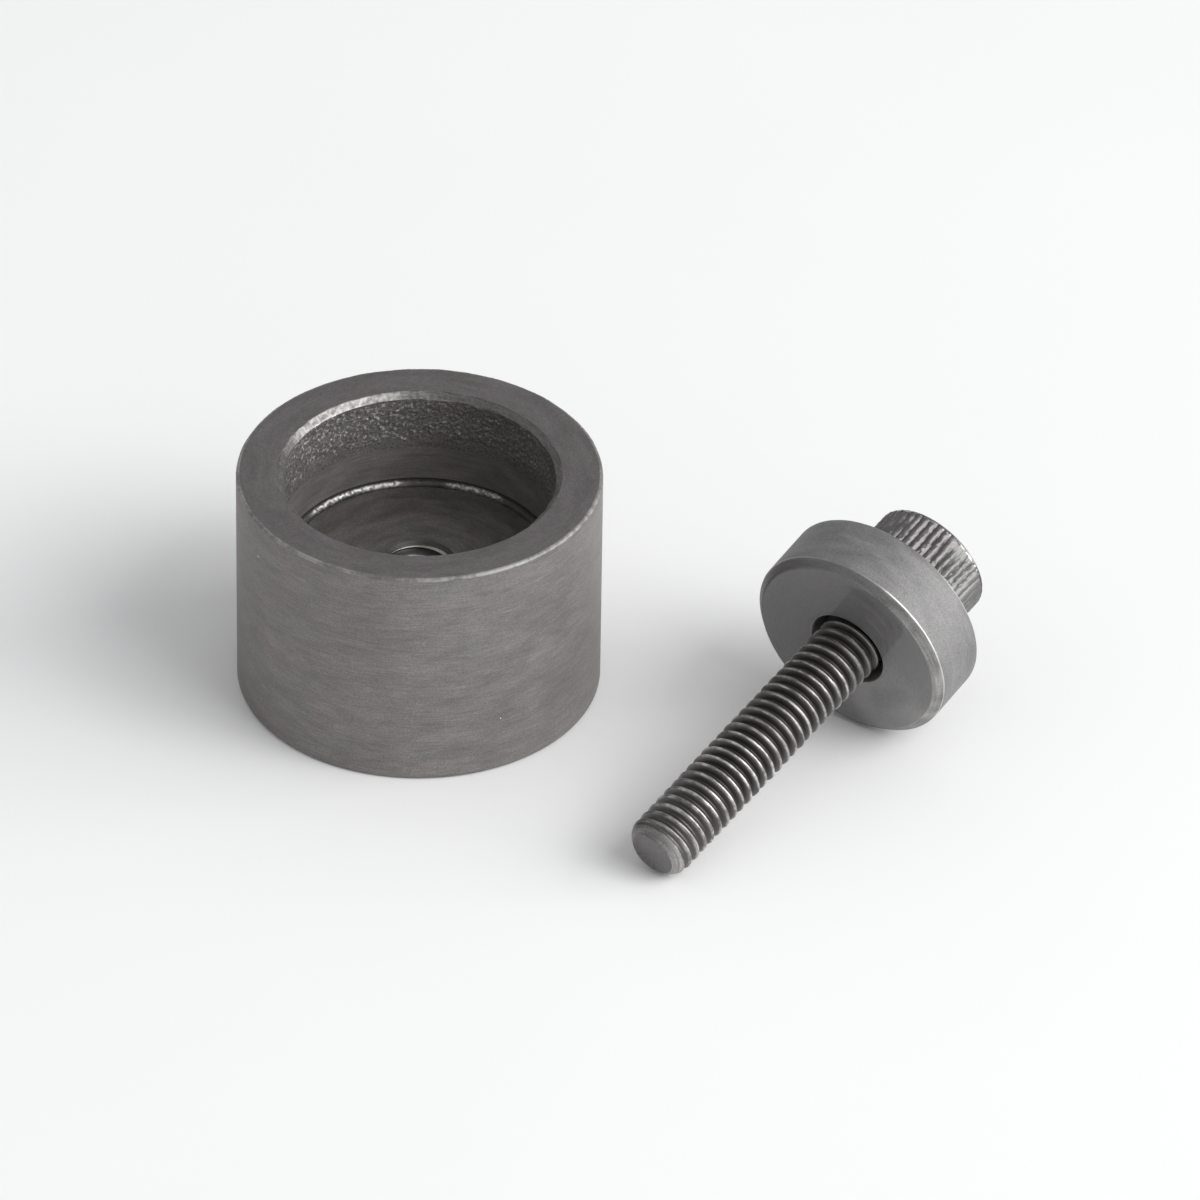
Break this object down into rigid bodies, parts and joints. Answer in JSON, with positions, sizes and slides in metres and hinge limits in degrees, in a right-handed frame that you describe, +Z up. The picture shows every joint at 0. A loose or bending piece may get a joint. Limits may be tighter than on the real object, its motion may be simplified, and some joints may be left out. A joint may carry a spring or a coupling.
{
  "type": "rivet setter",
  "caption": "Rivet setter in three pieces: a thick-walled die cup with a tapped floor, and a knurled socket head screw that carries a loose pressing disc.",
  "frame": {"origin": "on the table, under the middle of the whole set's box", "axes": "+Z up, and along the cup's axis out of its mouth; +X from the cup towards the screw and disc, the set's longest side; +Y to the back"},
  "size_m": [0.0424, 0.0306, 0.0139],
  "materials": {
    "cup_steel": "turned and blackened, satin",
    "disc_steel": "ground, satin",
    "screw_steel": "black oxide, worn bright on the edges"
  },
  "bodies": {
    "cup": {"die_cup": "cup_steel"},
    "screw": {"cap_screw": "screw_steel"},
    "disc": {"pressing_disc": "disc_steel"}
  },
  "joints": [
    {"name": "screw_to_cup", "type": "hinge", "parent": "cup", "child": "screw", "pos_m": [-0.0075, -0.00866, 0.00932], "axis": [-0.6708, -0.1905, -0.7167], "range_deg": [0, 235.27]},
    {"name": "disc_slide", "type": "slide", "parent": "screw", "child": "disc", "axis": [-0.5982, -0.7656, -0.2367], "range_m": [0, 0.0165]}
  ]
}
